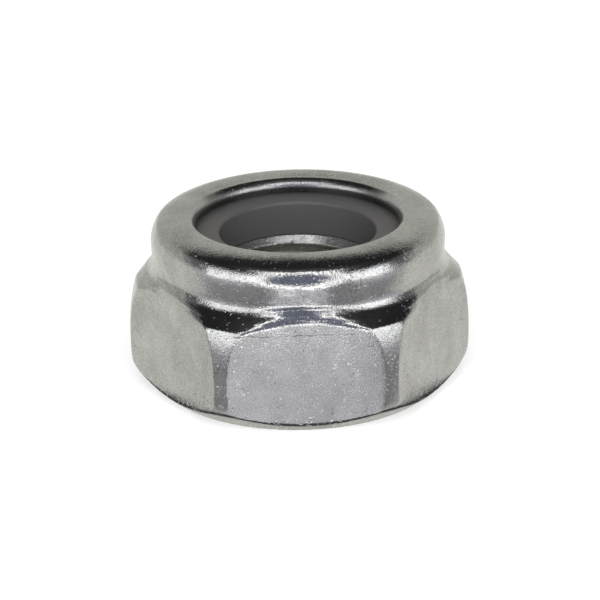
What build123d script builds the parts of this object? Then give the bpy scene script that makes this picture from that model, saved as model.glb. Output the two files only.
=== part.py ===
from build123d import *
from math import radians, sqrt, tan
import os

# Nylon insert lock nut, M10 x 1.5: one forged steel nut, and the nylon ring held in its collar.
# Millimetres, +Z up. The origin is the centre of the flat bearing face; +Z runs up the thread axis.

# Thread
thread_diameter = 10.0
thread_pitch = 1.5
minor_diameter_drop = 1.0825 * thread_pitch  # ISO metric: the minor diameter is D less 1.0825 P
countersink_margin = 0.3  # mouth of the countersink, outside the thread
countersink_depth = 1.1
thread_mouth_depth = 0.35  # chamfer where the thread opens into the recess

# Hexagon, with corners that forging leaves barrel-shaped
across_flats = 17.0
corner_trim = 0.215  # how far the barrel stays inside the sharp corners
corner_widest_height = 3.0
corner_barrel_radius = 17.0  # curve of the corners from top to bottom
bearing_face_inset = 0.68  # edge of the bearing face, inside the flats
lower_chamfer_height = 1.25  # at the corners
lower_corner_rounding = 0.9
upper_corner_height = 6.07  # where the corners meet the cone under the collar
upper_corner_rounding = 0.35
cone_angle = 44.0  # from the bearing face

# Collar, with its rim rolled in over the ring
overall_height = 9.95
collar_inset = 0.21  # widest part of the collar, inside the flats
waist_depth = 0.15  # groove between the cone and the collar
waist_rounding = 0.45
shoulder_lean = 0.39  # how far the side leans in on its way up to the shoulder
shoulder_drop = 0.34  # how far the domed land falls from its crest to the shoulder
shoulder_rounding = 0.65
rim_thickness = 0.82
rim_overlap = 0.69  # how far the rim reaches in over the ring
rim_edge_rounding = 0.5

# Recess and nylon ring
threaded_height = 6.9  # from the bearing face to the floor of the recess
recess_margin = 1.5  # wall of the recess, outside the thread
ring_bite = 0.6  # how far the ring's hole stays inside the bolt's thread
ring_edge_chamfer = 0.1
ring_side_clearance = 0.03  # between the ring and the wall of the recess

# Radii that follow from them
thread_radius = thread_diameter / 2
minor_radius = thread_radius - minor_diameter_drop / 2
countersink_radius = thread_radius + countersink_margin
flat_distance = across_flats / 2
corner_radius = across_flats / sqrt(3) - corner_trim
bearing_radius = flat_distance - bearing_face_inset
collar_radius = flat_distance - collar_inset
waist_radius = collar_radius - waist_depth
shoulder_radius = collar_radius - shoulder_lean
recess_radius = thread_radius + recess_margin
rim_opening_radius = recess_radius - rim_overlap
ring_radius = recess_radius - ring_side_clearance
ring_hole_radius = thread_radius - ring_bite


def barrel_point(height):
    """Point on the barrel-shaped corners, as radius and height."""
    off_centre = height - corner_widest_height
    centre_radius = corner_radius - corner_barrel_radius
    return (centre_radius + sqrt(corner_barrel_radius**2 - off_centre**2), height)


def corner_at(sketch, point):
    """The corner of a sketch that lies at a point."""
    return sketch.vertices().sort_by_distance(Vector(*point))[0]


# Places on the half section, as radius and height
lower_corner = barrel_point(lower_chamfer_height)
upper_corner = barrel_point(upper_corner_height)
cone_run = upper_corner[0] - waist_radius
waist = (waist_radius, upper_corner_height + cone_run * tan(radians(cone_angle)))
collar_side = (collar_radius, (waist[1] + overall_height) / 2)  # it bulges most halfway up
shoulder = (shoulder_radius, overall_height - shoulder_drop)
crest = (rim_opening_radius + rim_edge_rounding, overall_height)
rim_edge = (rim_opening_radius, overall_height - rim_edge_rounding)
recess_top = overall_height - rim_thickness  # the rim's underside sits on the ring

# Nut: a turned form cut to a hexagon
with BuildPart() as nut_body:
    with BuildSketch(Plane.XZ) as half_section:
        with BuildLine():
            Line((countersink_radius, 0), (bearing_radius, 0))
            Line((bearing_radius, 0), lower_corner)
            ThreePointArc(lower_corner, barrel_point(corner_widest_height), upper_corner)
            Line(upper_corner, waist)
            TangentArc(collar_side, waist, tangent=(0, -1))
            TangentArc(collar_side, shoulder, tangent=(0, 1))
            TangentArc(crest, shoulder, tangent=(1, 0))
            TangentArc(crest, rim_edge, tangent=(-1, 0))
            Polyline(
                rim_edge,
                (rim_opening_radius, recess_top),
                (recess_radius, recess_top),
                (recess_radius, threaded_height),
                (thread_radius, threaded_height),
                (minor_radius, threaded_height - thread_mouth_depth),
                (minor_radius, countersink_depth),
                (countersink_radius, 0),
            )
        make_face()
        fillet(corner_at(half_section, lower_corner), lower_corner_rounding)
        fillet(corner_at(half_section, upper_corner), upper_corner_rounding)
        fillet(corner_at(half_section, waist), waist_rounding)
        fillet(corner_at(half_section, shoulder), shoulder_rounding)
    revolve(axis=Axis.Z)

    with BuildSketch():
        RegularPolygon(radius=flat_distance, side_count=6, major_radius=False)
    extrude(amount=overall_height, mode=Mode.INTERSECT)
nut_body.part.label = "nut_body"

# Nylon ring: clamped between the floor of the recess and the rolled-in rim
with BuildPart() as nylon_insert:
    with BuildSketch(Plane.XY.offset(threaded_height)):
        Circle(ring_radius)
        Circle(ring_hole_radius, mode=Mode.SUBTRACT)
    extrude(amount=recess_top - threaded_height)
    chamfer(nylon_insert.edges(), ring_edge_chamfer)
nylon_insert.part.label = "nylon_insert"

os.makedirs("parts", exist_ok=True)
export_step(nut_body.part, "parts/nut_body.step")
export_step(nylon_insert.part, "parts/nylon_insert.step")
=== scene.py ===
import math

import bmesh
import bpy
import numpy as np
from mathutils import Matrix, Vector


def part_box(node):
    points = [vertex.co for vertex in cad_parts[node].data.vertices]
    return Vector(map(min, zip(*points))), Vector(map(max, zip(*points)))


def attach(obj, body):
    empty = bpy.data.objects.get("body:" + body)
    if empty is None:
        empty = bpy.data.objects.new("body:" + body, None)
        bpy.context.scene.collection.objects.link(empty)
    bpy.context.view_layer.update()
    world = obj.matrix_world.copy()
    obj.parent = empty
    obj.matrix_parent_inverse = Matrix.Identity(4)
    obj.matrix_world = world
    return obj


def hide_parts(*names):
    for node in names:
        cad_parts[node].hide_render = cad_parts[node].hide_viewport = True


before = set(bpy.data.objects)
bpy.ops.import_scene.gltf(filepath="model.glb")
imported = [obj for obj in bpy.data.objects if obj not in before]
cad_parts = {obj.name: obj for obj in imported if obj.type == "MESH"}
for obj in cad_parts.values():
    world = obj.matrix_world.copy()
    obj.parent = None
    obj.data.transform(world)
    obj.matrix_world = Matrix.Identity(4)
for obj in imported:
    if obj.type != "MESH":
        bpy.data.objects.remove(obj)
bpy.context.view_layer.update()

mm = 0.001


# Helpers

def linearColour(hexText):  # an sRGB hex value as the linear colour that sockets take
    parts = [int(hexText[i:i + 2], 16) / 255 for i in (1, 3, 5)]
    return [p / 12.92 if p <= 0.04045 else ((p + 0.055) / 1.055) ** 2.4 for p in parts] + [1.0]


def addNode(tree, kind, settings=None, inputs=None):  # a value is a number, a socket, or a node for its first output
    node = tree.nodes.new(kind)
    for name, value in (settings or {}).items():
        setattr(node, name, value)
    for name, value in (inputs or {}).items():
        if isinstance(value, bpy.types.Node):
            value = value.outputs[0]
        if isinstance(value, bpy.types.NodeSocket):
            tree.links.new(value, node.inputs[name])
        else:
            node.inputs[name].default_value = value
    return node


def newMaterial(name):
    material = bpy.data.materials.new(name)
    material.use_nodes = True
    material.node_tree.nodes.clear()
    return material, material.node_tree


# Camera

camera = {
    "elevation": 21.83,  # degrees above the nut
    "turn": 2.33,  # degrees round the nut, towards its left
    "roll": 1.07,
    "distance": 301.8 * mm,
    "lens": 320.1,
    "aim": Vector((0, 0, 5 * mm)),
    "aimRight": 0.06 * mm,  # how far the view's centre lies from the aim
    "aimDown": 0.32 * mm,
}


def addCamera():
    elevation, turn = math.radians(camera["elevation"]), math.radians(camera["turn"])
    toCamera = Vector((
        -math.cos(elevation) * math.sin(turn),
        -math.cos(elevation) * math.cos(turn),
        math.sin(elevation),
    ))
    view = (-toCamera).to_track_quat("-Z", "Y").to_matrix() @ Matrix.Rotation(-math.radians(camera["roll"]), 3, "Z")
    offset = view @ Vector((camera["aimRight"], -camera["aimDown"], 0))
    lensData = bpy.data.cameras.new("productCamera")
    lensData.lens = camera["lens"]
    lensData.sensor_width = 36
    lensData.clip_start = 0.01
    body = bpy.data.objects.new("productCamera", lensData)
    body.matrix_world = Matrix.Translation(camera["aim"] + offset + toCamera * camera["distance"]) @ view.to_4x4()
    bpy.context.scene.collection.objects.link(body)
    bpy.context.scene.camera = body


addCamera()
print("camera placed")


# Stage: a white floor in a light tent, with two softboxes, a front opening and a dark roof

stage = {  # lengths in metres, angles in degrees
    "floorSize": 1.2,
    "floorColour": "#f2f2f1",
    "floorLift": 0.5,  # what the floor adds to the light it gets back, so that it reads as white paper
    # painted light and shade on the floor, which only metal sees in it: lighter in front, beside and far out, painted
    # shade to each side, the nut's painted shadow close round it and a painted pale strip under its edge
    "mirroredGlow": 1.03,  # how strongly metal sees the floor
    "frontTint": "#f5f5fd",  # the floor straight in front of the nut
    "sideTint": "#f3f2ed",  # beside it and behind it
    "paintedShadeTint": "#a9a9ad",  # in front to each side, painted shade
    "paintedFarLightTint": "#dcdce2",  # and painted light under the softboxes, further out
    "farStart": 0.03,
    "farTurn": 38.0,
    "farBlur": 5.0,
    "paintedShadowTint": "#4c4c50",  # painted shade: the nut's own shadow, close round it
    "paintedUnderEdgeLightTint": "#d0d0c9",  # and a painted pale strip under its edge
    "touchEnd": 0.0085,
    "edgeEnd": 0.0097,
    "edgeBlur": 0.0002,
    "frontWidth": 0.005,  # half the width of the floor straight in front
    "frontSpread": 0.1,  # which it gains with the distance from the nut's face
    "frontEdge": 0.0085,  # where the shaded parts begin, in front of the nut's middle
    "frontBlur": 0.0015,
    "tentColour": "#d3d3cd",
    "tentBackColour": "#cfcfc8",  # straight behind the nut
    "tentTop": 40.0,  # above the floor, behind the nut
    "tentShoulder": 38.5,  # and beside it
    "tentTopBlur": 0.7,
    "tentTurn": 140.0,  # where the shoulder starts to climb to the top
    "tentEdge": 97.0,  # round from the camera
    "tentEdgeBlur": 1.5,
    "tentSlant": 1.2,  # by which its edge leans back above tentBend
    "tentBend": 13.0,
    "tentFoot": [2.0, 5.0],  # the pale strip along the floor fades between them
    "roofColour": "#343436",
    "roofGlow": "#606064",  # over the front opening
    "screenColour": "#77777b",  # beside the softboxes
    "screenTop": 30.0,
    "screenBlur": 2.0,
    "openingColour": "#8f93a6",
    "openingWidth": 33.0,  # to each side of the camera
    "openingHeight": 27.0,  # above and below its middle
    "openingMiddle": 16.0,
    "openingView": 0.008,  # the height from which its edge is drawn on the floor
    "rimGlow": 4.0,
    "rimWidth": 0.14,  # as a share of the opening
    "headWidth": 40.0,  # a light above the opening, measured as the opening is
    "headHeight": 2.5,
    "headMiddle": 43.0,
    "softboxAzimuth": 56.0,  # round from the camera
    "softboxElevation": 10.5,
    "softboxDistance": 0.35,
    "softboxWidth": 0.21,
    "softboxHeight": 0.19,
    "softboxPower": 0.24,
    "lampColour": "#fafbff",
    "overheadPower": 0.55,
    "overheadSize": 0.5,
    "overheadHeight": 0.6,
    "frontPower": 1.4,
    "frontSize": 0.35,
    "frontElevation": 37.0,
    "frontDistance": 0.55,
}


def addAngles(tree, direction):  # degrees round from the camera either way, degrees above the floor, and the parts
    turned = addNode(tree, "ShaderNodeVectorRotate", {"rotation_type": "Z_AXIS"}, {
        "Vector": direction, "Angle": math.radians(camera["turn"])})
    parts = addNode(tree, "ShaderNodeSeparateXYZ", inputs={0: turned})
    forward = addNode(tree, "ShaderNodeMath", {"operation": "MULTIPLY"}, {0: parts.outputs["Y"], 1: -1.0})
    around = addNode(tree, "ShaderNodeMath", {"operation": "ARCTAN2"}, {0: parts.outputs["X"], 1: forward})
    around = addNode(tree, "ShaderNodeMath", {"operation": "DEGREES"}, {0: around})
    around = addNode(tree, "ShaderNodeMath", {"operation": "ABSOLUTE"}, {0: around})
    above = addNode(tree, "ShaderNodeMath", {"operation": "ARCSINE"}, {0: parts.outputs["Z"]})
    above = addNode(tree, "ShaderNodeMath", {"operation": "DEGREES"}, {0: above})
    return around, above, parts


def addOpening(tree, around, above):  # how far a direction lies within the front opening, and on its bright rim
    across = addNode(tree, "ShaderNodeMath", {"operation": "DIVIDE"}, {0: around, 1: stage["openingWidth"]})
    across = addNode(tree, "ShaderNodeMath", {"operation": "POWER"}, {0: across, 1: 2.0})
    up = addNode(tree, "ShaderNodeMath", {"operation": "SUBTRACT"}, {0: above, 1: stage["openingMiddle"]})
    up = addNode(tree, "ShaderNodeMath", {"operation": "DIVIDE"}, {0: up, 1: stage["openingHeight"]})
    up = addNode(tree, "ShaderNodeMath", {"operation": "POWER"}, {0: up, 1: 2.0})
    reach = addNode(tree, "ShaderNodeMath", {"operation": "ADD"}, {0: across, 1: up})
    reach = addNode(tree, "ShaderNodeMath", {"operation": "SQRT"}, {0: reach})
    within = addNode(tree, "ShaderNodeMath", {"operation": "LESS_THAN"}, {0: reach, 1: 1.0})
    rim = addNode(tree, "ShaderNodeMath", {"operation": "SUBTRACT"}, {0: reach, 1: 1.0})
    rim = addNode(tree, "ShaderNodeMath", {"operation": "ABSOLUTE"}, {0: rim})
    rim = addNode(tree, "ShaderNodeMapRange", {"interpolation_type": "SMOOTHSTEP"}, {
        0: rim, 1: 0.4 * stage["rimWidth"], 2: stage["rimWidth"], 3: 1.0, 4: 0.0})
    # the light above it
    head = addNode(tree, "ShaderNodeMath", {"operation": "SUBTRACT"}, {0: above, 1: stage["headMiddle"]})
    head = addNode(tree, "ShaderNodeMath", {"operation": "DIVIDE"}, {0: head, 1: stage["headHeight"]})
    head = addNode(tree, "ShaderNodeMath", {"operation": "ABSOLUTE"}, {0: head})
    ends = addNode(tree, "ShaderNodeMath", {"operation": "DIVIDE"}, {0: around, 1: stage["headWidth"]})
    head = addNode(tree, "ShaderNodeMath", {"operation": "MAXIMUM"}, {0: head, 1: ends})
    head = addNode(tree, "ShaderNodeMapRange", {"interpolation_type": "SMOOTHSTEP"}, {
        0: head, 1: 0.8, 2: 1.05, 3: 1.0, 4: 0.0})
    rim = addNode(tree, "ShaderNodeMath", {"operation": "MAXIMUM"}, {0: rim, 1: head})
    return within, rim


def addFloor():
    mesh = bpy.data.meshes.new("floor")
    shape = bmesh.new()
    bmesh.ops.create_grid(shape, x_segments=1, y_segments=1, size=stage["floorSize"])
    shape.to_mesh(mesh)
    shape.free()
    floor = bpy.data.objects.new("floor", mesh)
    bpy.context.scene.collection.objects.link(floor)
    material, tree = newMaterial("matteWhitePaper")
    place = addNode(tree, "ShaderNodeTexCoord")

    # the front opening's mirror image, painted where the nut sees it in the floor, with a painted glow along its rim
    seenFrom = addNode(tree, "ShaderNodeVectorMath", {"operation": "SUBTRACT"}, {
        0: place.outputs["Object"], 1: (0, 0, stage["openingView"])})
    seenFrom = addNode(tree, "ShaderNodeVectorMath", {"operation": "NORMALIZE"}, {0: seenFrom})
    around, above = addAngles(tree, seenFrom)[:2]
    within, rim = addOpening(tree, around, above)

    # painted light and shade that metal sees in the floor: in front, beside, shaded, far out and close under the nut
    around, _, parts = addAngles(tree, place.outputs["Object"])
    aside = addNode(tree, "ShaderNodeMath", {"operation": "ABSOLUTE"}, {0: parts.outputs["X"]})
    ahead = addNode(tree, "ShaderNodeMath", {"operation": "MULTIPLY"}, {0: parts.outputs["Y"], 1: -1.0})
    front, side, shaded = (linearColour(stage[key]) for key in ("frontTint", "sideTint", "paintedShadeTint"))
    strip = addNode(tree, "ShaderNodeMath", {"operation": "MULTIPLY_ADD"}, {
        0: ahead, 1: -stage["frontSpread"], 2: aside})
    beside = addNode(tree, "ShaderNodeMapRange", {"interpolation_type": "SMOOTHSTEP"}, {
        0: strip, 1: stage["frontWidth"] - stage["frontBlur"], 2: stage["frontWidth"], 3: 0.0, 4: 1.0})
    away = addNode(tree, "ShaderNodeVectorMath", {"operation": "LENGTH"}, {0: place.outputs["Object"]})
    far = addNode(tree, "ShaderNodeMapRange", {"interpolation_type": "SMOOTHSTEP"}, {
        0: away.outputs["Value"], 1: 0.8 * stage["farStart"], 2: 1.3 * stage["farStart"], 3: 0.0, 4: 1.0})
    turned = addNode(tree, "ShaderNodeMapRange", {"interpolation_type": "SMOOTHSTEP"}, {
        0: around, 1: stage["farTurn"] - stage["farBlur"], 2: stage["farTurn"] + stage["farBlur"], 3: 0.0, 4: 1.0})
    far = addNode(tree, "ShaderNodeMath", {"operation": "MULTIPLY"}, {0: far, 1: turned})
    dim = addNode(tree, "ShaderNodeMix", {"data_type": "RGBA"}, {
        "Factor": far, 6: shaded, 7: linearColour(stage["paintedFarLightTint"])})
    before = addNode(tree, "ShaderNodeMapRange", {"interpolation_type": "SMOOTHSTEP"}, {
        0: ahead, 1: stage["frontEdge"] - stage["frontBlur"], 2: stage["frontEdge"] + stage["frontBlur"],
        3: 0.0, 4: 1.0})
    tint = addNode(tree, "ShaderNodeMix", {"data_type": "RGBA"}, {"Factor": beside, 6: front, 7: dim.outputs[2]})
    tint = addNode(tree, "ShaderNodeMix", {"data_type": "RGBA"}, {"Factor": before, 6: side, 7: tint.outputs[2]})
    for key, end in (("paintedShadowTint", "edgeEnd"), ("paintedUnderEdgeLightTint", "touchEnd")):
        close = addNode(tree, "ShaderNodeMapRange", {"interpolation_type": "SMOOTHSTEP"}, {
            0: away.outputs["Value"], 1: stage[end] - stage["edgeBlur"], 2: stage[end] + stage["edgeBlur"],
            3: 1.0, 4: 0.0})
        tint = addNode(tree, "ShaderNodeMix", {"data_type": "RGBA"}, {
            "Factor": close, 6: tint.outputs[2], 7: linearColour(stage[key])})
    tint = addNode(tree, "ShaderNodeMix", {"data_type": "RGBA"}, {
        "Factor": within, 6: tint.outputs[2], 7: linearColour(stage["openingColour"])})

    # plain white paper to the camera; to metal, the floor glows with the painted light, shade and mirror image
    rays = addNode(tree, "ShaderNodeLightPath")
    mirrored = addNode(tree, "ShaderNodeMath", {"operation": "MAXIMUM"}, {
        0: rays.outputs["Is Glossy Ray"], 1: rays.outputs["Is Transmission Ray"]})
    seen = addNode(tree, "ShaderNodeMath", {"operation": "MAXIMUM"}, {0: rays.outputs["Is Camera Ray"], 1: mirrored})
    lift = addNode(tree, "ShaderNodeMath", {"operation": "MULTIPLY"}, {0: seen, 1: stage["floorLift"]})
    paper = addNode(tree, "ShaderNodeBsdfDiffuse", inputs={"Color": linearColour(stage["floorColour"])})
    white = addNode(tree, "ShaderNodeEmission", inputs={"Strength": lift})
    plain = addNode(tree, "ShaderNodeAddShader", inputs={0: paper, 1: white})
    paintedReflection = addNode(tree, "ShaderNodeEmission", inputs={"Color": tint.outputs[2], "Strength": stage["mirroredGlow"]})
    paintedRimGlow = addNode(tree, "ShaderNodeEmission", inputs={"Strength": stage["rimGlow"]})
    paintedReflection = addNode(tree, "ShaderNodeMixShader", inputs={0: rim, 1: paintedReflection, 2: paintedRimGlow})
    both = addNode(tree, "ShaderNodeMixShader", inputs={0: mirrored, 1: plain, 2: paintedReflection})
    addNode(tree, "ShaderNodeOutputMaterial", inputs={"Surface": both})
    mesh.materials.append(material)


def addTent():
    world = bpy.data.worlds.new("lightTent")
    world.use_nodes = True
    tree = world.node_tree
    tree.nodes.clear()
    direction = addNode(tree, "ShaderNodeTexCoord")
    around, above = addAngles(tree, direction.outputs["Generated"])[:2]

    # roof: dark, with a soft glow over the front
    overFront = addNode(tree, "ShaderNodeVectorMath", {"operation": "DOT_PRODUCT"}, {
        0: direction.outputs["Generated"], 1: (0.0, -0.5, 0.866)})
    overFront = addNode(tree, "ShaderNodeMapRange", {"interpolation_type": "SMOOTHSTEP"}, {
        0: overFront.outputs["Value"], 1: 0.72, 2: 0.99, 3: 0.0, 4: 1.0})
    view = addNode(tree, "ShaderNodeMix", {"data_type": "RGBA"}, {
        "Factor": overFront, 6: linearColour(stage["roofColour"]), 7: linearColour(stage["roofGlow"])})

    # grey screens beside the softboxes
    screens = addNode(tree, "ShaderNodeMapRange", {"interpolation_type": "SMOOTHSTEP"}, {
        0: above, 1: stage["screenTop"] - stage["screenBlur"], 2: stage["screenTop"] + stage["screenBlur"],
        3: 1.0, 4: 0.0})
    view = addNode(tree, "ShaderNodeMix", {"data_type": "RGBA"}, {
        "Factor": screens, 6: view.outputs[2], 7: linearColour(stage["screenColour"])})

    # front opening: a dim room inside a bright rim
    within, rim = addOpening(tree, around, above)
    view = addNode(tree, "ShaderNodeMix", {"data_type": "RGBA"}, {
        "Factor": within, 6: view.outputs[2], 7: linearColour(stage["openingColour"])})

    # walls: pale, from the softboxes round behind the nut, and along the floor all the way round
    slant = addNode(tree, "ShaderNodeMath", {"operation": "SUBTRACT"}, {0: above, 1: stage["tentBend"]})
    slant = addNode(tree, "ShaderNodeMath", {"operation": "MAXIMUM"}, {0: slant, 1: 0.0})
    behind = addNode(tree, "ShaderNodeMath", {"operation": "MULTIPLY_ADD"}, {
        0: slant, 1: -stage["tentSlant"], 2: around})
    behind = addNode(tree, "ShaderNodeMapRange", {"interpolation_type": "SMOOTHSTEP"}, {
        0: behind, 1: stage["tentEdge"] - stage["tentEdgeBlur"], 2: stage["tentEdge"] + stage["tentEdgeBlur"],
        3: 0.0, 4: 1.0})
    top = addNode(tree, "ShaderNodeMapRange", inputs={
        0: around, 1: stage["tentTurn"], 2: 180.0, 3: stage["tentShoulder"], 4: stage["tentTop"]})
    low = addNode(tree, "ShaderNodeMath", {"operation": "SUBTRACT"}, {0: above, 1: top})
    low = addNode(tree, "ShaderNodeMapRange", {"interpolation_type": "SMOOTHSTEP"}, {
        0: low, 1: -stage["tentTopBlur"], 2: stage["tentTopBlur"], 3: 1.0, 4: 0.0})
    wall = addNode(tree, "ShaderNodeMath", {"operation": "MULTIPLY"}, {0: behind, 1: low})
    foot = addNode(tree, "ShaderNodeMapRange", {"interpolation_type": "SMOOTHSTEP"}, {
        0: above, 1: stage["tentFoot"][0], 2: stage["tentFoot"][1], 3: 1.0, 4: 0.0})
    outside = addNode(tree, "ShaderNodeMath", {"operation": "SUBTRACT"}, {0: 1.0, 1: within})
    foot = addNode(tree, "ShaderNodeMath", {"operation": "MULTIPLY"}, {0: foot, 1: outside})
    wall = addNode(tree, "ShaderNodeMath", {"operation": "MAXIMUM"}, {0: wall, 1: foot})
    farBack = addNode(tree, "ShaderNodeMapRange", {"interpolation_type": "SMOOTHSTEP"}, {
        0: around, 1: stage["tentTurn"], 2: 180.0, 3: 0.0, 4: 1.0})
    cloth = addNode(tree, "ShaderNodeMix", {"data_type": "RGBA"}, {
        "Factor": farBack, 6: linearColour(stage["tentColour"]), 7: linearColour(stage["tentBackColour"])})
    view = addNode(tree, "ShaderNodeMix", {"data_type": "RGBA"}, {
        "Factor": wall, 6: view.outputs[2], 7: cloth.outputs[2]})
    soft = addNode(tree, "ShaderNodeBackground", inputs={"Color": view.outputs[2], "Strength": 1.0})
    bright = addNode(tree, "ShaderNodeBackground", inputs={"Color": (1, 1, 1, 1), "Strength": stage["rimGlow"]})
    both = addNode(tree, "ShaderNodeMixShader", inputs={0: rim, 1: soft, 2: bright})
    addNode(tree, "ShaderNodeOutputWorld", inputs={"Surface": both})
    bpy.context.scene.world = world


def addLamp(name, azimuth, elevation, distance, width, height, power):  # turned to face the nut
    data = bpy.data.lights.new(name, "AREA")
    data.shape = "RECTANGLE"
    data.size, data.size_y = width, height
    data.energy = power
    data.color = linearColour(stage["lampColour"])[:3]
    lamp = bpy.data.objects.new(name, data)
    around, up = math.radians(azimuth - camera["turn"]), math.radians(elevation)
    away = Vector((math.cos(up) * math.sin(around), -math.cos(up) * math.cos(around), math.sin(up)))
    lamp.matrix_world = Matrix.Translation(away * distance) @ away.to_track_quat("Z", "Y").to_matrix().to_4x4()
    bpy.context.scene.collection.objects.link(lamp)
    return lamp


addFloor()
addTent()
for name, side in (("softboxLeft", -1), ("softboxRight", 1)):
    addLamp(name, side * stage["softboxAzimuth"], stage["softboxElevation"], stage["softboxDistance"],
            stage["softboxWidth"], stage["softboxHeight"], stage["softboxPower"])
overhead = addLamp("overheadFill", 0, 90, stage["overheadHeight"],
                   stage["overheadSize"], stage["overheadSize"], stage["overheadPower"])
frontFill = addLamp("frontFill", 0, stage["frontElevation"], stage["frontDistance"],
                    stage["frontSize"], stage["frontSize"], stage["frontPower"])
for lamp in (overhead, frontFill):
    lamp.visible_glossy = False  # they light the floor and the nylon, and leave no mirror image
bpy.context.scene.view_settings.view_transform = "Standard"
print("stage set")


# Nut: the half section

nutLow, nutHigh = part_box("nut_body")
ringLow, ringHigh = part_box("nylon_insert")
nut = {
    "flatDistance": nutHigh.y,
    "cornerRadius": nutHigh.x,
    "height": nutHigh.z,
    "bearingInset": 0.68 * mm,
    "bearingRounding": 0.12 * mm,
    "countersinkRadius": 5.3 * mm,
    "countersinkDepth": 1.1 * mm,
    "widestHeight": 3.0 * mm,
    "barrelRadius": 17.0 * mm,
    "lowerCornerHeight": 1.25 * mm,
    "lowerCornerRounding": 0.9 * mm,
    "upperCornerHeight": 6.2 * mm,
    "upperCornerRounding": 0.5 * mm,
    "cornerLean": 0.09 * mm,  # forging pushes the tops of the corners in
    "cornerLeanHeights": [4.5 * mm, 6.2 * mm],
    "coneAngle": 41.5,  # degrees from the bearing face
    "collarInset": 0.21 * mm,
    "waistDepth": 0.15 * mm,
    "waistRounding": 1.0 * mm,
    "shoulderLean": 0.39 * mm,
    "shoulderDrop": 0.34 * mm,
    "shoulderRounding": 0.65 * mm,
    "rimOpening": 5.78 * mm,
    "rimReach": 0.46 * mm,  # how far the rim's crest lies outside its opening
    "rimRoll": 0.55 * mm,  # and how deep its inner side is rounded
    "rimBite": 0.14 * mm,  # how far its edge presses into the ring
    "rimSag": 0.19 * mm,  # the rolled rim is a little lower at the back
    "recessRadius": 6.5 * mm,
    "threadRadius": 5.0 * mm,
    "threadPitch": 1.5 * mm,
    "threadStart": 0.63,  # share of a turn
    "threadRunout": 1.1 * mm,
    "threadMouthRadius": 4.45 * mm,
    "threadMouthDepth": 0.42 * mm,
    "edgeHeights": [0.0, 0.5 * mm, 1.2 * mm, 1.9 * mm, 5.85 * mm, 6.05 * mm, 6.25 * mm, 6.5 * mm],
    "edgeRoundings": [0.18 * mm, 0.26 * mm, 0.34 * mm, 0.08 * mm, 0.06 * mm, 0.1 * mm, 0.35 * mm, 0.8 * mm],
    "knockSize": 1.1 * mm,
    "leanHeights": [5.9 * mm, 6.9 * mm],
    "flatLean": 0.002 * mm,  # above a faint crease the flats lean in
    "crownLift": 0.28 * mm,  # of the cone and the waist above the middle of each flat
    "crownAngle": 26.0,
    "crownHeights": [6.1 * mm, 6.6 * mm, 7.05 * mm, 7.6 * mm],
    "sagRadii": [6.3 * mm, 7.3 * mm],
    "columns": 40,  # in each sixth of the turn
    "flatShare": 0.4,  # of the columns, where the flats have them
    "threadRows": 16,  # in each pitch
    "rowSpacing": 0.16 * mm,
    "rowBend": 7.0,  # the most that the half section bends from one row to the next, in degrees
    "fineSpacing": 0.03 * mm,  # where the flats' arches cross the rows
    "hiddenSpacing": 0.6 * mm,  # behind the ring
}
minorRadius = nut["threadRadius"] - 0.54125 * nut["threadPitch"]  # of a metric thread


def linePoints(start, end, steps=60):
    return np.linspace(start, end, steps)


def arcThrough(start, end, tangent, steps=80):  # an arc that leaves start along tangent and ends at end
    start, end, tangent = (np.array(v, float) for v in (start, end, tangent))
    chord = end - start
    side = np.array([-tangent[1], tangent[0]]) / np.linalg.norm(tangent)
    radius = chord @ chord / (2 * chord @ side)
    centre = start + side * radius
    first = math.atan2(*(start - centre)[::-1])
    sweep = 2 * math.atan2(chord @ side, chord @ tangent / np.linalg.norm(tangent))
    angles = first + np.linspace(0, sweep, steps)
    return centre + abs(radius) * np.stack([np.cos(angles), np.sin(angles)], 1)


def quarterEllipse(start, end, steps=80):  # level at its start, upright at its end
    t = np.linspace(0, math.pi / 2, steps)
    return np.stack([start[0] + (end[0] - start[0]) * np.sin(t), end[1] + (start[1] - end[1]) * np.cos(t)], 1)


def along(points):
    return np.concatenate([[0], np.cumsum(np.linalg.norm(np.diff(points, axis=0), axis=1))])


def cutBack(points, length, fromEnd):  # the piece without its last or first stretch, and the direction there
    if fromEnd:
        points = points[::-1]
    run = along(points)
    place = np.array([np.interp(length, run, points[:, k]) for k in (0, 1)])
    kept = np.vstack([place, points[run > length + 1e-9]])
    heading = kept[0] - kept[1]
    heading /= np.linalg.norm(heading)
    return (kept[::-1] if fromEnd else kept), heading


def roundedPath(pieces, roundings):  # joins pieces end to end, with a round corner of that radius at each joint
    path = pieces[0]
    for piece, radius in zip(pieces[1:], roundings):
        if radius:
            inward = path[-1] - path[-2]
            outward = piece[1] - piece[0]
            turn = math.acos(np.clip(inward @ outward / np.linalg.norm(inward) / np.linalg.norm(outward), -1, 1))
            cut = radius * math.tan(turn / 2)
            path, headingIn = cutBack(path, cut, True)
            piece, headingOut = cutBack(piece, cut, False)
            start, end = path[-1], piece[0]
            reach = np.linalg.solve(np.stack([headingIn, -headingOut], 1), end - start)[0]
            corner = start + headingIn * reach
            t = np.linspace(0, 1, 40)[1:-1, None]
            weight = 2 * math.cos(turn / 2) * t * (1 - t)
            curve = ((1 - t) ** 2 * start + weight * corner + t ** 2 * end) / ((1 - t) ** 2 + weight + t ** 2)
            path = np.vstack([path, curve])
        path = np.vstack([path, piece if radius else piece[1:]])
    return path


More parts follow.
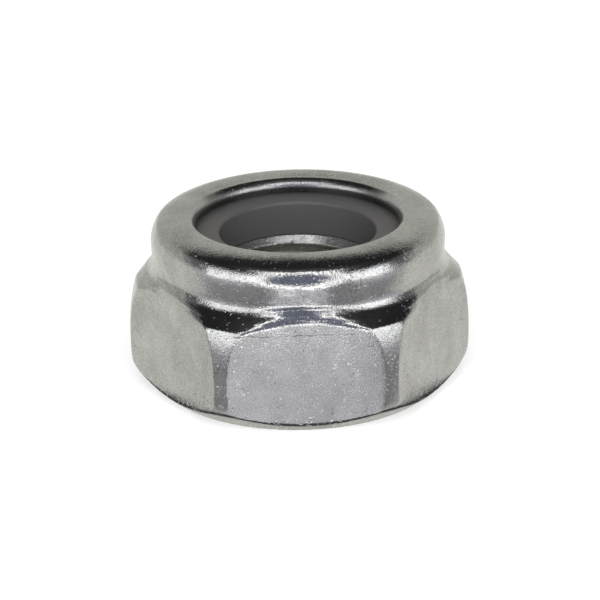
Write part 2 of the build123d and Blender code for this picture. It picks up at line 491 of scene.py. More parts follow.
def halfSection():
    n = nut
    floorHeight, recessTop = ringLow.z, ringHigh.z
    lipFoot = recessTop - n["rimBite"]
    mouthFoot = floorHeight - n["threadMouthDepth"]
    bearingRadius = n["flatDistance"] - n["bearingInset"]
    collarRadius = n["flatDistance"] - n["collarInset"]
    waistRadius = collarRadius - n["waistDepth"]
    barrelCentre = n["cornerRadius"] - n["barrelRadius"]

    def barrelPoint(z):
        lean = n["cornerLean"] * np.interp(z, n["cornerLeanHeights"], [0, 1]) ** 2
        return [barrelCentre + math.sqrt(n["barrelRadius"] ** 2 - (z - n["widestHeight"]) ** 2) - lean, z]

    lower, upper = barrelPoint(n["lowerCornerHeight"]), barrelPoint(n["upperCornerHeight"])
    waist = [waistRadius, upper[1] + (upper[0] - waistRadius) * math.tan(math.radians(n["coneAngle"]))]
    side = [collarRadius, (waist[1] + n["height"]) / 2]
    shoulder = [collarRadius - n["shoulderLean"], n["height"] - n["shoulderDrop"]]
    crest = [n["rimOpening"] + n["rimReach"], n["height"]]
    rimFoot = [n["rimOpening"], n["height"] - n["rimRoll"]]
    barrel = np.array([barrelPoint(z) for z in np.linspace(lower[1], upper[1], 120)])
    pieces = [
        linePoints([n["countersinkRadius"], 0], [bearingRadius, 0]),
        linePoints([bearingRadius, 0], lower),
        barrel,
        linePoints(upper, waist),
        arcThrough(side, waist, (0, -1))[::-1],
        arcThrough(side, shoulder, (0, 1)),
        arcThrough(crest, shoulder, (1, 0))[::-1],
        quarterEllipse(crest, rimFoot),
        linePoints(rimFoot, [n["rimOpening"], lipFoot]),
        linePoints([n["rimOpening"], lipFoot], [n["rimOpening"] + 2 * n["rimBite"], recessTop], 8),
        linePoints([n["rimOpening"] + 2 * n["rimBite"], recessTop], [n["recessRadius"], recessTop], 8),
        linePoints([n["recessRadius"], recessTop], [n["recessRadius"], floorHeight], 8),
        linePoints([n["recessRadius"], floorHeight], [n["threadMouthRadius"], floorHeight], 8),
        linePoints([n["threadMouthRadius"], floorHeight], [minorRadius, mouthFoot], 12),
    ]
    roundings = [n["bearingRounding"], n["lowerCornerRounding"], n["upperCornerRounding"], n["waistRounding"], 0,
                 n["shoulderRounding"], 0, 0, 0, 0, 0, 0, 0]
    path = roundedPath(pieces, roundings)

    # rows: closer where the section bends, and where the flats cut it
    run = along(path)
    dense = np.linspace(0, run[-1], int(run[-1] / (0.004 * mm)))
    points = np.stack([np.interp(dense, run, path[:, k]) for k in (0, 1)], 1)
    heading = np.unwrap(np.arctan2(np.gradient(points[:, 1]), np.gradient(points[:, 0])))
    bend = np.abs(np.gradient(heading, dense))
    bend = np.convolve(bend, np.ones(21) / 21, "same")
    spacing = np.minimum(n["rowSpacing"], math.radians(n["rowBend"]) / np.maximum(bend, 1e-6))
    offBarrel = (points[:, 1] < lower[1]) | (points[:, 1] > upper[1])
    crossing = offBarrel & (points[:, 0] > n["flatDistance"] - 0.25 * mm)
    spacing = np.where(crossing, np.minimum(spacing, n["fineSpacing"]), spacing)
    hidden = (points[:, 1] > floorHeight) & (points[:, 1] < lipFoot) & (points[:, 0] < n["recessRadius"] + 0.001 * mm)
    spacing = np.where(hidden, n["hiddenSpacing"], spacing)
    steps = np.concatenate([[0], np.cumsum(np.diff(dense) / spacing[1:])])
    rows = np.interp(np.linspace(0, steps[-1], int(steps[-1]) + 2), steps, dense)
    return np.stack([np.interp(rows, run, path[:, k]) for k in (0, 1)], 1)


section = halfSection()
print("half section has", len(section), "rows")


# Nut: carried round the axis, cut to the hexagon and threaded by Geometry Nodes

def addTurn(tree, share, radius, source):  # the angle from the nearest flat's centre, and round the nut
    nearest = addNode(tree, "ShaderNodeMath", {"operation": "ROUND"}, {0: share})
    side = addNode(tree, "ShaderNodeMath", {"operation": "SUBTRACT"}, {0: share, 1: nearest})
    fold = addNode(tree, "ShaderNodeMath", {"operation": "ABSOLUTE"}, {0: side})
    # half the flat's width at this radius, as an angle
    ratio = addNode(tree, "ShaderNodeMath", {"operation": "DIVIDE", "use_clamp": True}, {
        0: source.outputs["Flat Distance"], 1: radius})
    flatAngle = addNode(tree, "ShaderNodeMath", {"operation": "ARCCOSINE"}, {0: ratio})
    # the columns on the flat never close up: where it ends they keep their share of the turn
    leastAngle = addNode(tree, "ShaderNodeMath", {"operation": "MULTIPLY"}, {
        0: source.outputs["Flat Share"], 1: math.radians(30)})
    room = addNode(tree, "ShaderNodeMath", {"operation": "DIVIDE"}, {0: flatAngle, 1: leastAngle})
    room = addNode(tree, "ShaderNodeMath", {"operation": "MULTIPLY_ADD", "use_clamp": True}, {
        0: room, 1: -0.5, 2: 1.0})
    room = addNode(tree, "ShaderNodeMath", {"operation": "POWER"}, {0: room, 1: 2.0})
    edgeAngle = addNode(tree, "ShaderNodeMath", {"operation": "MULTIPLY_ADD"}, {0: leastAngle, 1: room, 2: flatAngle})
    # columns crowd towards the edge of the flat
    crowd = addNode(tree, "ShaderNodeMapRange", inputs={0: flatAngle, 1: 0.0, 2: 0.25, 3: 1.0, 4: 2.0})
    halfShare = addNode(tree, "ShaderNodeMath", {"operation": "MULTIPLY"}, {0: source.outputs["Flat Share"], 1: 0.5})
    onFlat = addNode(tree, "ShaderNodeMapRange", inputs={0: fold, 1: 0.0, 2: halfShare, 3: 1.0, 4: 0.0})
    onFlat = addNode(tree, "ShaderNodeMath", {"operation": "POWER"}, {0: onFlat, 1: crowd})
    onFlat = addNode(tree, "ShaderNodeMath", {"operation": "SUBTRACT"}, {0: 1.0, 1: onFlat})
    onCorner = addNode(tree, "ShaderNodeMapRange", inputs={0: fold, 1: halfShare, 2: 0.5, 3: 0.0, 4: 1.0})
    onCorner = addNode(tree, "ShaderNodeMath", {"operation": "POWER"}, {0: onCorner, 1: crowd})
    rest = addNode(tree, "ShaderNodeMath", {"operation": "SUBTRACT"}, {0: math.radians(30), 1: edgeAngle})
    rest = addNode(tree, "ShaderNodeMath", {"operation": "MULTIPLY"}, {0: rest, 1: onCorner})
    local = addNode(tree, "ShaderNodeMath", {"operation": "MULTIPLY_ADD"}, {0: edgeAngle, 1: onFlat, 2: rest})
    sign = addNode(tree, "ShaderNodeMath", {"operation": "SIGN"}, {0: side})
    signed = addNode(tree, "ShaderNodeMath", {"operation": "MULTIPLY"}, {0: sign, 1: local})
    turn = addNode(tree, "ShaderNodeMath", {"operation": "MULTIPLY_ADD"}, {
        0: nearest, 1: math.radians(60), 2: signed})
    return local, turn


def addPlace(tree, radius, turn, height):  # a point from its radius, turn and height; the first flat faces +Y
    across = addNode(tree, "ShaderNodeMath", {"operation": "SINE"}, {0: turn})
    across = addNode(tree, "ShaderNodeMath", {"operation": "MULTIPLY"}, {0: across, 1: radius})
    forward = addNode(tree, "ShaderNodeMath", {"operation": "COSINE"}, {0: turn})
    forward = addNode(tree, "ShaderNodeMath", {"operation": "MULTIPLY"}, {0: forward, 1: radius})
    return addNode(tree, "ShaderNodeCombineXYZ", inputs={"X": across, "Y": forward, "Z": height})


def addColumnsAndRows(tree, rows, source):  # a grid with its row and its share of a sixth for each point
    columns = addNode(tree, "ShaderNodeMath", {"operation": "MULTIPLY_ADD"}, {
        0: source.outputs["Columns"], 1: 6.0, 2: 1.0})
    grid = addNode(tree, "GeometryNodeMeshGrid", inputs={"Vertices X": columns, "Vertices Y": rows})
    index = addNode(tree, "GeometryNodeInputIndex")
    row = addNode(tree, "ShaderNodeMath", {"operation": "FLOORED_MODULO"}, {0: index, 1: rows})
    column = addNode(tree, "ShaderNodeMath", {"operation": "DIVIDE"}, {0: index, 1: rows})
    column = addNode(tree, "ShaderNodeMath", {"operation": "ADD"}, {0: column, 1: 0.0001})
    column = addNode(tree, "ShaderNodeMath", {"operation": "FLOOR"}, {0: column})
    share = addNode(tree, "ShaderNodeMath", {"operation": "DIVIDE"}, {0: column, 1: source.outputs["Columns"]})
    return grid, row, share


def nutTree():
    tree = bpy.data.node_groups.new("lockNut", "GeometryNodeTree")
    tree.interface.new_socket(name="Half Section", in_out="INPUT", socket_type="NodeSocketGeometry")
    for name, kind in [
        ("Flat Distance", "Float"), ("Columns", "Int"), ("Flat Share", "Float"), ("Thread Radius", "Float"),
        ("Minor Radius", "Float"), ("Thread Pitch", "Float"), ("Thread Start", "Float"), ("Thread Height", "Float"),
        ("Thread Runout", "Float"), ("Thread Rows", "Int"), ("Countersink Radius", "Float"),
        ("Countersink Depth", "Float"), ("Crown Lift", "Float"), ("Crown Angle", "Float"), ("Rim Sag", "Float"),
        ("Knock Scale", "Float"), ("Finish", "Material"),
    ]:
        tree.interface.new_socket(name=name, in_out="INPUT", socket_type="NodeSocket" + kind)
    tree.interface.new_socket(name="Nut", in_out="OUTPUT", socket_type="NodeSocketGeometry")
    source = addNode(tree, "NodeGroupInput")

    # outside: the half section turned round the axis, and planed off at the six flats
    size = addNode(tree, "GeometryNodeAttributeDomainSize", inputs={0: source.outputs["Half Section"]})
    grid, row, share = addColumnsAndRows(tree, size.outputs["Point Count"], source)
    place = addNode(tree, "GeometryNodeInputPosition")
    sectionPoint = addNode(tree, "GeometryNodeSampleIndex", {"data_type": "FLOAT_VECTOR"}, {
        "Geometry": source.outputs["Half Section"], "Value": place, "Index": row})
    sectionPoint = addNode(tree, "ShaderNodeSeparateXYZ", inputs={0: sectionPoint})
    radius, height = sectionPoint.outputs["X"], sectionPoint.outputs["Z"]
    carried = {}
    for name in ("edgeRounding", "flatLean", "crownShare", "sagShare"):
        value = addNode(tree, "GeometryNodeInputNamedAttribute", {"data_type": "FLOAT"}, {"Name": name})
        carried[name] = addNode(tree, "GeometryNodeSampleIndex", {"data_type": "FLOAT"}, {
            "Geometry": source.outputs["Half Section"], "Value": value, "Index": row})
    local, turn = addTurn(tree, share, radius, source)
    planed = addNode(tree, "ShaderNodeMath", {"operation": "COSINE"}, {0: local})
    flat = addNode(tree, "ShaderNodeMath", {"operation": "SUBTRACT"}, {
        0: source.outputs["Flat Distance"], 1: carried["flatLean"]})
    planed = addNode(tree, "ShaderNodeMath", {"operation": "DIVIDE"}, {0: flat, 1: planed})
    # knocks make the edges' rounding uneven
    knocks = addNode(tree, "ShaderNodeTexNoise", inputs={
        "Vector": addPlace(tree, radius, turn, height), "Scale": source.outputs["Knock Scale"], "Detail": 2.0})
    knocks = addNode(tree, "ShaderNodeMapRange", inputs={0: knocks, 1: 0.3, 2: 0.7, 3: 0.75, 4: 1.25})
    rounding = addNode(tree, "ShaderNodeMath", {"operation": "MULTIPLY"}, {0: carried["edgeRounding"], 1: knocks})
    cut = addNode(tree, "ShaderNodeMath", {"operation": "SMOOTH_MIN"}, {0: radius, 1: planed, 2: rounding})
    # forging pushes the metal up above the middle of each flat
    crown = addNode(tree, "ShaderNodeMapRange", {"interpolation_type": "SMOOTHSTEP"}, {
        0: local, 1: 0.0, 2: source.outputs["Crown Angle"], 3: source.outputs["Crown Lift"], 4: 0.0})
    height = addNode(tree, "ShaderNodeMath", {"operation": "MULTIPLY_ADD"}, {
        0: carried["crownShare"], 1: crown, 2: height})
    # the rolled rim sags towards the back, where the turn is 0
    back = addNode(tree, "ShaderNodeMath", {"operation": "COSINE"}, {0: turn})
    back = addNode(tree, "ShaderNodeMapRange", inputs={
        0: back, 1: -1.0, 2: 1.0, 3: 0.0, 4: source.outputs["Rim Sag"]})
    sag = addNode(tree, "ShaderNodeMath", {"operation": "MULTIPLY"}, {0: carried["sagShare"], 1: back})
    height = addNode(tree, "ShaderNodeMath", {"operation": "SUBTRACT"}, {0: height, 1: sag})
    outside = addNode(tree, "GeometryNodeSetPosition", inputs={
        "Geometry": grid, "Position": addPlace(tree, cut, turn, height)})

    # bore: a right-hand thread, opened by the countersink at the bottom; its rows climb with it, and after a whole
    # turn each meets the row one pitch further on
    pitch, end = source.outputs["Thread Pitch"], source.outputs["Thread Height"]
    turns = addNode(tree, "ShaderNodeMath", {"operation": "DIVIDE"}, {0: end, 1: pitch})
    turns = addNode(tree, "ShaderNodeMath", {"operation": "CEIL"}, {0: turns})
    turns = addNode(tree, "ShaderNodeMath", {"operation": "ADD"}, {0: turns, 1: 2.0})
    rows = addNode(tree, "ShaderNodeMath", {"operation": "MULTIPLY_ADD"}, {
        0: turns, 1: source.outputs["Thread Rows"], 2: 1.0})
    grid, row, share = addColumnsAndRows(tree, rows, source)
    local, turn = addTurn(tree, share, source.outputs["Thread Radius"], source)
    climb = addNode(tree, "ShaderNodeMath", {"operation": "DIVIDE"}, {0: turn, 1: -2 * math.pi})
    climb = addNode(tree, "ShaderNodeMath", {"operation": "ADD"}, {0: climb, 1: source.outputs["Thread Start"]})
    level = addNode(tree, "ShaderNodeMath", {"operation": "DIVIDE"}, {0: row, 1: source.outputs["Thread Rows"]})
    level = addNode(tree, "ShaderNodeMath", {"operation": "ADD"}, {0: level, 1: climb})
    level = addNode(tree, "ShaderNodeMath", {"operation": "SUBTRACT"}, {0: level, 1: 1.0})
    level = addNode(tree, "ShaderNodeMath", {"operation": "MULTIPLY"}, {0: level, 1: pitch})
    height = addNode(tree, "ShaderNodeMath", {"operation": "MAXIMUM"}, {0: level, 1: 0.0})
    height = addNode(tree, "ShaderNodeMath", {"operation": "MINIMUM"}, {0: height, 1: end})
    phase = addNode(tree, "ShaderNodeMath", {"operation": "DIVIDE"}, {0: height, 1: pitch})
    phase = addNode(tree, "ShaderNodeMath", {"operation": "SUBTRACT"}, {0: phase, 1: climb})
    phase = addNode(tree, "ShaderNodeMath", {"operation": "PINGPONG"}, {0: phase, 1: 0.5})  # 0 at the root
    # 60 degree flanks, between a root an eighth and a crest a quarter of the pitch wide
    groove = addNode(tree, "ShaderNodeMapRange", inputs={
        0: phase, 1: 1 / 16, 2: 3 / 8, 3: source.outputs["Thread Radius"], 4: source.outputs["Minor Radius"]})
    # it fades out below the recess
    fade = addNode(tree, "ShaderNodeMath", {"operation": "SUBTRACT"}, {0: end, 1: height})
    fade = addNode(tree, "ShaderNodeMapRange", inputs={0: fade, 1: 0.0, 2: source.outputs["Thread Runout"]})
    groove = addNode(tree, "ShaderNodeMapRange", inputs={
        0: fade, 1: 0.0, 2: 1.0, 3: source.outputs["Minor Radius"], 4: groove})
    countersink = addNode(tree, "ShaderNodeMapRange", inputs={
        0: height, 1: 0.0, 2: source.outputs["Countersink Depth"],
        3: source.outputs["Countersink Radius"], 4: source.outputs["Minor Radius"]})
    bore = addNode(tree, "ShaderNodeMath", {"operation": "MAXIMUM"}, {0: groove, 1: countersink})
    inside = addNode(tree, "GeometryNodeSetPosition", inputs={
        "Geometry": grid, "Position": addPlace(tree, bore, turn, height)})

    whole = addNode(tree, "GeometryNodeJoinGeometry")
    inside = addNode(tree, "GeometryNodeFlipFaces", inputs={0: inside})
    tree.links.new(inside.outputs[0], whole.inputs[0])
    tree.links.new(outside.outputs[0], whole.inputs[0])
    whole = addNode(tree, "GeometryNodeMergeByDistance", inputs={"Geometry": whole, "Distance": 0.0005 * mm})
    whole = addNode(tree, "GeometryNodeSetShadeSmooth", inputs={"Geometry": whole, "Shade Smooth": True})
    whole = addNode(tree, "GeometryNodeRealizeInstances", inputs={0: whole})
    whole = addNode(tree, "GeometryNodeSetMaterial", inputs={0: whole, "Material": source.outputs["Finish"]})
    addNode(tree, "NodeGroupOutput", inputs={0: whole})
    return tree


def plainMesh(name, source, tree, values):  # runs the tree on a mesh and keeps the result as a plain mesh
    carrier = bpy.data.objects.new(name + "Source", source)
    bpy.context.scene.collection.objects.link(carrier)
    modifier = carrier.modifiers.new(name, "NODES")
    modifier.node_group = tree
    sockets = {item.name: item.identifier for item in tree.interface.items_tree if item.in_out == "INPUT"}
    for label, value in values.items():
        modifier[sockets[label]] = value
    evaluated = carrier.evaluated_get(bpy.context.evaluated_depsgraph_get())
    mesh = bpy.data.meshes.new_from_object(evaluated)
    mesh.name = name
    finish = next(m for m in mesh.materials if m)
    mesh.materials.clear()
    mesh.materials.append(finish)
    mesh.polygons.foreach_set("material_index", np.zeros(len(mesh.polygons), np.int32))
    bpy.data.objects.remove(carrier)
    piece = bpy.data.objects.new(name, mesh)
    bpy.context.scene.collection.objects.link(piece)
    return piece


def addNut(finish):
    line = bpy.data.meshes.new("halfSection")
    line.from_pydata([(r, 0, z) for r, z in section], [], [])
    heights = section[:, 1]
    outer = section[:, 0] > nut["recessRadius"] + 0.3 * mm
    rowValues = {
        "edgeRounding": np.interp(heights, nut["edgeHeights"], nut["edgeRoundings"]),
        "flatLean": np.interp(heights, nut["leanHeights"], [0, nut["flatLean"]]) * outer,
        "crownShare": np.interp(heights, nut["crownHeights"], [0, 1, 1, 0]) * outer,
        "sagShare": np.interp(section[:, 0], nut["sagRadii"], [1, 0]) * np.interp(
            heights, [ringHigh.z, ringHigh.z + 0.4 * mm], [0, 1]),
    }
    for name, values in rowValues.items():
        line.attributes.new(name, "FLOAT", "POINT").data.foreach_set("value", values.astype(np.float32))
    piece = plainMesh("zincPlatedNut", line, nutTree(), {
        "Flat Distance": nut["flatDistance"],
        "Columns": nut["columns"],
        "Flat Share": nut["flatShare"],
        "Thread Radius": nut["threadRadius"],
        "Minor Radius": minorRadius,
        "Thread Pitch": nut["threadPitch"],
        "Thread Start": nut["threadStart"],
        "Thread Height": ringLow.z - nut["threadMouthDepth"],
        "Thread Runout": nut["threadRunout"],
        "Thread Rows": nut["threadRows"],
        "Countersink Radius": nut["countersinkRadius"],
        "Countersink Depth": nut["countersinkDepth"],
        "Crown Lift": nut["crownLift"],
        "Crown Angle": math.radians(nut["crownAngle"]),
        "Rim Sag": nut["rimSag"],
        "Knock Scale": 1 / nut["knockSize"],
        "Finish": finish,
    })
    piece.data.set_sharp_from_angle(angle=math.radians(35))
    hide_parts("nut_body")
    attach(piece, "root")
    return piece


zinc = {  # sizes in millimetres
    "colour": "#bcbcba",
    "dullColour": "#9d9d9b",
    # the colour of the pits and scuffs, also used for the painted shade along the crease
    "pitAndShadeColour": "#66655f",
    "roughness": 0.07,
    "dullRoughness": 0.14,
    "patchSize": 2.2,
    "grainSize": 0.085,
    "grainTone": 0.9,  # how much of the patches' contrast the grain has
    "grainDepth": 0.011,
    "innerRadius": 5.95,  # inside the rim and in the bore
    "innerRoughness": 0.2,  # how much rougher it is there
    # painted shade on the rim's inner wall, down where it meets the ring
    "paintedShadeColour": "#6e6d6b",
    "paintedShadeHeight": 9.05,
    "scuffSize": 0.16,
    "scuffSpacing": 1.6,
    "scuffShare": 0.45,
    "scuffLevel": 1.24,  # higher leaves fewer scuffs
    "forgingSize": 0.8,
    "forgingDepth": 0.018,
    "creaseHeight": 5.93,
    "creaseWidth": 0.07,
    "creaseDepth": 0.002,
    # how dark the painted shade along the crease is
    "creaseShadeTone": 0.95,
    "pitSpacing": 0.55,
    "pitSize": 0.055,
    "nickSize": 0.42,
    "nickWidth": 0.05,
    "nickHeight": 0.009,
    "nickLevel": 0.6,  # higher leaves fewer nicks
    "nickLowEdge": 0.18,  # how much lower the level is along the lower edge
    "nickShelter": 0.09,  # and how much higher above the flats
    "nickColour": "#f2f2f0",
    "nickTone": 0.22,
    "nickLowTone": 0.9,  # along the lower edge
}


def zincPlate():
    material, tree = newMaterial("brightZincPlate")
    place = addNode(tree, "ShaderNodeTexCoord")
    place = addNode(tree, "ShaderNodeVectorMath", {"operation": "SCALE"}, {
        0: place.outputs["Object"], "Scale": 1 / mm})

    # plating: brighter and duller patches and a fine grain, which keep the flats from looking like glass
    patches = addNode(tree, "ShaderNodeTexNoise", inputs={
        "Vector": place, "Scale": 1 / zinc["patchSize"], "Detail": 6.0, "Roughness": 0.7})
    patches = addNode(tree, "ShaderNodeMapRange", inputs={0: patches, 1: 0.3, 2: 0.7, 3: 0.0, 4: 1.0})
    grain = addNode(tree, "ShaderNodeTexNoise", inputs={
        "Vector": place, "Scale": 1 / zinc["grainSize"], "Detail": 2.0, "Roughness": 0.6})
    fine = addNode(tree, "ShaderNodeMapRange", {"clamp": False}, {0: grain, 1: 0.2, 2: 0.8, 3: -1.0, 4: 1.0})
    dull = addNode(tree, "ShaderNodeMath", {"operation": "MULTIPLY_ADD", "use_clamp": True}, {
        0: fine, 1: zinc["grainTone"], 2: patches})
    colour = addNode(tree, "ShaderNodeMix", {"data_type": "RGBA"}, {
        "Factor": dull, 6: linearColour(zinc["colour"]), 7: linearColour(zinc["dullColour"])})
    rough = addNode(tree, "ShaderNodeMapRange", inputs={
        0: dull, 1: 0.0, 2: 1.0, 3: zinc["roughness"], 4: zinc["dullRoughness"]})

    # inside the rim and in the bore the plating is duller
    parts = addNode(tree, "ShaderNodeSeparateXYZ", inputs={0: place})
    fromAxis = addNode(tree, "ShaderNodeCombineXYZ", inputs={"X": parts.outputs["X"], "Y": parts.outputs["Y"]})
    fromAxis = addNode(tree, "ShaderNodeVectorMath", {"operation": "LENGTH"}, {0: fromAxis})
    inside = addNode(tree, "ShaderNodeMapRange", {"interpolation_type": "SMOOTHSTEP"}, {
        0: fromAxis.outputs["Value"], 1: zinc["innerRadius"] - 0.1, 2: zinc["innerRadius"] + 0.1, 3: 1.0, 4: 0.0})
    rough = addNode(tree, "ShaderNodeMath", {"operation": "MULTIPLY_ADD"}, {
        0: inside, 1: zinc["innerRoughness"], 2: rough})

    # scuffs: patches of small dark flecks where the plating is rubbed
    flecks = addNode(tree, "ShaderNodeTexNoise", inputs={
        "Vector": place, "Scale": 1 / zinc["scuffSize"], "Detail": 1.0, "Distortion": 0.5})
    rubbed = addNode(tree, "ShaderNodeTexNoise", inputs={
        "Vector": place, "Scale": 1 / zinc["scuffSpacing"], "Detail": 2.0})
    flecks = addNode(tree, "ShaderNodeMath", {"operation": "ADD"}, {0: flecks, 1: rubbed})
    scuffs = addNode(tree, "ShaderNodeMapRange", {"interpolation_type": "SMOOTHSTEP"}, {
        0: flecks, 1: zinc["scuffLevel"], 2: zinc["scuffLevel"] + 0.1, 3: 0.0, 4: zinc["scuffShare"]})
    colour = addNode(tree, "ShaderNodeMix", {"data_type": "RGBA"}, {
        "Factor": scuffs, 6: colour.outputs[2], 7: linearColour(zinc["pitAndShadeColour"])})

    # skin: the orange peel of the grain over the gentle waves that forging leaves
    forging = addNode(tree, "ShaderNodeTexNoise", inputs={
        "Vector": place, "Scale": 1 / zinc["forgingSize"], "Detail": 2.0})
    height = addNode(tree, "ShaderNodeMath", {"operation": "MULTIPLY"}, {0: grain, 1: zinc["grainDepth"]})
    height = addNode(tree, "ShaderNodeMath", {"operation": "MULTIPLY_ADD"}, {
        0: forging, 1: zinc["forgingDepth"], 2: height})

    # crease: a faint broken line that the die leaves across two of the flats, level with the top of the corners; its
    # colour is darkened with painted shade
    crease = addNode(tree, "ShaderNodeMath", {"operation": "MULTIPLY_ADD"}, {
        0: forging, 1: 0.12, 2: parts.outputs["Z"]})
    crease = addNode(tree, "ShaderNodeMath", {"operation": "SUBTRACT"}, {0: crease, 1: zinc["creaseHeight"] + 0.06})
    crease = addNode(tree, "ShaderNodeMath", {"operation": "ABSOLUTE"}, {0: crease})
    crease = addNode(tree, "ShaderNodeMapRange", {"interpolation_type": "SMOOTHSTEP"}, {
        0: crease, 1: 0.0, 2: zinc["creaseWidth"], 3: 1.0, 4: 0.0})
    broken = addNode(tree, "ShaderNodeMapRange", {"interpolation_type": "SMOOTHSTEP"}, {
        0: patches, 1: 0.3, 2: 0.6, 3: 0.2, 4: 1.0})
    crease = addNode(tree, "ShaderNodeMath", {"operation": "MULTIPLY"}, {0: crease, 1: broken})
    facing = addNode(tree, "ShaderNodeMath", {"operation": "ABSOLUTE"}, {0: parts.outputs["Y"]})
    facing = addNode(tree, "ShaderNodeMath", {"operation": "GREATER_THAN"}, {
        0: facing, 1: nut["flatDistance"] / mm - 0.1})
    crease = addNode(tree, "ShaderNodeMath", {"operation": "MULTIPLY"}, {0: crease, 1: facing})
    height = addNode(tree, "ShaderNodeMath", {"operation": "MULTIPLY_ADD"}, {
        0: crease, 1: -zinc["creaseDepth"], 2: height})
    # painted shade along the crease, in the colour
    crease = addNode(tree, "ShaderNodeMath", {"operation": "MULTIPLY"}, {0: crease, 1: zinc["creaseShadeTone"]})

    # nicks: short bright scratches from lying loose among other nuts
    lines = addNode(tree, "ShaderNodeTexNoise", inputs={
        "Vector": place, "Scale": 1 / zinc["nickSize"], "Detail": 1.0, "Distortion": 0.6})
    lines = addNode(tree, "ShaderNodeMath", {"operation": "SUBTRACT"}, {0: lines, 1: 0.5})
    lines = addNode(tree, "ShaderNodeMath", {"operation": "ABSOLUTE"}, {0: lines})
    lines = addNode(tree, "ShaderNodeMapRange", {"interpolation_type": "SMOOTHSTEP"}, {
        0: lines, 1: 0.0, 2: zinc["nickWidth"], 3: 1.0, 4: 0.0})
    places = addNode(tree, "ShaderNodeTexNoise", inputs={
        "Vector": place, "Scale": 2.2 / zinc["nickSize"], "Detail": 0.0})
    lowEdge = addNode(tree, "ShaderNodeMapRange", inputs={  # more of them along the lower edge
        0: parts.outputs["Z"], 1: 0.5, 2: 1.1, 3: zinc["nickLowEdge"], 4: 0.0})
    sheltered = addNode(tree, "ShaderNodeMapRange", inputs={  # and few above the flats
        0: parts.outputs["Z"], 1: 5.9, 2: 6.3, 3: 0.0, 4: -zinc["nickShelter"]})
    places = addNode(tree, "ShaderNodeMath", {"operation": "ADD"}, {0: places, 1: lowEdge})
    places = addNode(tree, "ShaderNodeMath", {"operation": "ADD"}, {0: places, 1: sheltered})
    places = addNode(tree, "ShaderNodeMapRange", {"interpolation_type": "SMOOTHSTEP"}, {
        0: places, 1: zinc["nickLevel"], 2: zinc["nickLevel"] + 0.06, 3: 0.0, 4: 1.0})
    nicks = addNode(tree, "ShaderNodeMath", {"operation": "MULTIPLY"}, {0: lines, 1: places})
    height = addNode(tree, "ShaderNodeMath", {"operation": "MULTIPLY_ADD"}, {
        0: nicks, 1: zinc["nickHeight"], 2: height})
    fresh = addNode(tree, "ShaderNodeMapRange", inputs={
        0: parts.outputs["Z"], 1: 0.9, 2: 1.5, 3: zinc["nickLowTone"], 4: zinc["nickTone"]})
    fresh = addNode(tree, "ShaderNodeMath", {"operation": "MULTIPLY"}, {0: nicks, 1: fresh})
    colour = addNode(tree, "ShaderNodeMix", {"data_type": "RGBA"}, {
        "Factor": fresh, 6: colour.outputs[2], 7: linearColour(zinc["nickColour"])})

    # pits: small dark specks in the plating
    cells = addNode(tree, "ShaderNodeTexVoronoi", inputs={"Vector": place, "Scale": 1 / zinc["pitSpacing"]})
    pits = addNode(tree, "ShaderNodeMapRange", {"interpolation_type": "SMOOTHSTEP"}, {
        0: cells.outputs["Distance"], 1: 0.5 * zinc["pitSize"] / zinc["pitSpacing"],
        2: zinc["pitSize"] / zinc["pitSpacing"], 3: 1.0, 4: 0.0})
    chosen = addNode(tree, "ShaderNodeSeparateXYZ", inputs={0: cells.outputs["Color"]})
    chosen = addNode(tree, "ShaderNodeMath", {"operation": "GREATER_THAN"}, {0: chosen.outputs["X"], 1: 0.5})
    pits = addNode(tree, "ShaderNodeMath", {"operation": "MULTIPLY"}, {0: pits, 1: chosen})
    # the painted shade along the crease joins the pits here
    pits = addNode(tree, "ShaderNodeMath", {"operation": "MAXIMUM"}, {0: pits, 1: crease})
    colour = addNode(tree, "ShaderNodeMix", {"data_type": "RGBA"}, {
        "Factor": pits, 6: colour.outputs[2], 7: linearColour(zinc["pitAndShadeColour"])})

    # painted shade on the rim's inner wall, where the rim meets the ring
    level = addNode(tree, "ShaderNodeMath", {"operation": "SUBTRACT"}, {
        0: parts.outputs["Z"], 1: zinc["paintedShadeHeight"]})
    level = addNode(tree, "ShaderNodeMath", {"operation": "ABSOLUTE"}, {0: level})
    paintedShade = addNode(tree, "ShaderNodeMapRange", {"interpolation_type": "SMOOTHSTEP"}, {
        0: level, 1: 0.15, 2: 0.4, 3: 1.0, 4: 0.0})
    paintedShade = addNode(tree, "ShaderNodeMath", {"operation": "MULTIPLY"}, {0: paintedShade, 1: inside})
    colour = addNode(tree, "ShaderNodeMix", {"data_type": "RGBA"}, {
        "Factor": paintedShade, 6: colour.outputs[2], 7: linearColour(zinc["paintedShadeColour"])})

    relief = addNode(tree, "ShaderNodeBump", inputs={"Distance": mm, "Height": height})
    surface = addNode(tree, "ShaderNodeBsdfPrincipled", inputs={
        "Base Color": colour.outputs[2], "Metallic": 1.0, "Roughness": rough, "Normal": relief})
    addNode(tree, "ShaderNodeOutputMaterial", inputs={"Surface": surface})
    return material


nutPiece = addNut(zincPlate())
print("nut has", len(nutPiece.data.polygons), "faces")


# Ring: moulded nylon, clamped under the rim

ring = {
    "holeRadius": 4.4 * mm,
    "outerRadius": ringHigh.x,
    "foot": ringLow.z,
    "top": ringHigh.z,
    "edgeRounding": 0.12 * mm,
    "holeRounding": 0.25 * mm,  # at the top of the hole, where the bolt's thread goes in
    "turnSteps": 128,
    "arcSteps": 6,
    "colour": "#585655",
    "paleColour": "#605e5d",
    # painted shade under the rim, darker towards the ring's outer edge
    "paintedShadeColour": "#333231",
    "roughness": 0.45,
    "paintedShadeStart": 5.2,  # in millimetres from the axis, as the next one
    "paintedShadeEnd": 5.9,
    "cloudScale": 0.6,  # clouds in each millimetre
    "grainSize": 0.2,  # in millimetres, as the next one
    "grainDepth": 0.004,
}


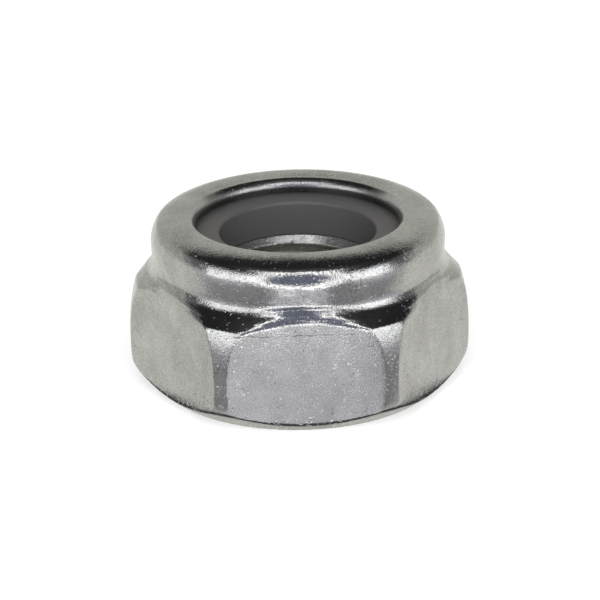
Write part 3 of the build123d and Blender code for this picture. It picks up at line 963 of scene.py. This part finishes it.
def addRing(finish):
    r = ring
    lip, bitten = nut["rimOpening"], r["top"] - nut["rimBite"]
    corners = [
        (r["holeRadius"], r["foot"], 1, 1, r["edgeRounding"]),
        (r["outerRadius"], r["foot"], -1, 1, r["edgeRounding"]),
        (r["outerRadius"], r["top"], -1, -1, r["edgeRounding"]),
        (r["holeRadius"], bitten, 1, -1, r["holeRounding"]),
    ]
    dent = [(lip + 2 * nut["rimBite"], r["top"]), (lip, bitten), (lip - 0.05 * mm, bitten)]  # left by the rim
    outline = []
    for number, (radius, height, inward, up, rounding) in enumerate(corners):
        if number == 3:
            outline += dent
        for step in range(r["arcSteps"] + 1):
            angle = math.radians(180 + 90 * (number + step / r["arcSteps"]))
            x = radius + rounding * (inward + math.cos(angle))
            z = height + rounding * (up + math.sin(angle))
            outline.append((x, z))
    turns = np.linspace(0, 2 * math.pi, r["turnSteps"], endpoint=False)
    points = [(x * math.cos(turn), x * math.sin(turn), z) for turn in turns for x, z in outline]
    count, faces = len(outline), []
    for column in range(r["turnSteps"]):
        here, onward = column * count, (column + 1) % r["turnSteps"] * count
        faces += [(here + i, onward + i, onward + (i + 1) % count, here + (i + 1) % count) for i in range(count)]
    mesh = bpy.data.meshes.new("nylonRing")
    mesh.from_pydata(points, [], faces)
    mesh.shade_smooth()
    mesh.materials.append(finish)
    piece = bpy.data.objects.new("nylonRing", mesh)
    bpy.context.scene.collection.objects.link(piece)
    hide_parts("nylon_insert")
    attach(piece, "root")
    return piece


def greyNylon():
    material, tree = newMaterial("mouldedGreyNylon")
    place = addNode(tree, "ShaderNodeTexCoord")
    place = addNode(tree, "ShaderNodeVectorMath", {"operation": "SCALE"}, {
        0: place.outputs["Object"], "Scale": 1 / mm})
    # cloudiness of the moulding, and its satin skin
    clouds = addNode(tree, "ShaderNodeTexNoise", inputs={
        "Vector": place, "Scale": ring["cloudScale"], "Detail": 4.0})
    colour = addNode(tree, "ShaderNodeMix", {"data_type": "RGBA"}, {
        "Factor": clouds, 6: linearColour(ring["colour"]), 7: linearColour(ring["paleColour"])})
    # painted shade under the rim, darker towards the ring's outer edge
    parts = addNode(tree, "ShaderNodeSeparateXYZ", inputs={0: place})
    fromAxis = addNode(tree, "ShaderNodeCombineXYZ", inputs={"X": parts.outputs["X"], "Y": parts.outputs["Y"]})
    fromAxis = addNode(tree, "ShaderNodeVectorMath", {"operation": "LENGTH"}, {0: fromAxis})
    paintedShade = addNode(tree, "ShaderNodeMapRange", {"interpolation_type": "SMOOTHSTEP"}, {
        0: fromAxis.outputs["Value"], 1: ring["paintedShadeStart"], 2: ring["paintedShadeEnd"], 3: 0.0, 4: 1.0})
    colour = addNode(tree, "ShaderNodeMix", {"data_type": "RGBA"}, {
        "Factor": paintedShade, 6: colour.outputs[2], 7: linearColour(ring["paintedShadeColour"])})
    grain = addNode(tree, "ShaderNodeTexNoise", inputs={
        "Vector": place, "Scale": 1 / ring["grainSize"], "Detail": 2.0})
    height = addNode(tree, "ShaderNodeMath", {"operation": "MULTIPLY"}, {0: grain, 1: ring["grainDepth"]})
    relief = addNode(tree, "ShaderNodeBump", inputs={"Distance": mm, "Height": height})
    surface = addNode(tree, "ShaderNodeBsdfPrincipled", inputs={
        "Base Color": colour.outputs[2], "Roughness": ring["roughness"], "Normal": relief})
    addNode(tree, "ShaderNodeOutputMaterial", inputs={"Surface": surface})
    return material


addRing(greyNylon())
print("ring made")
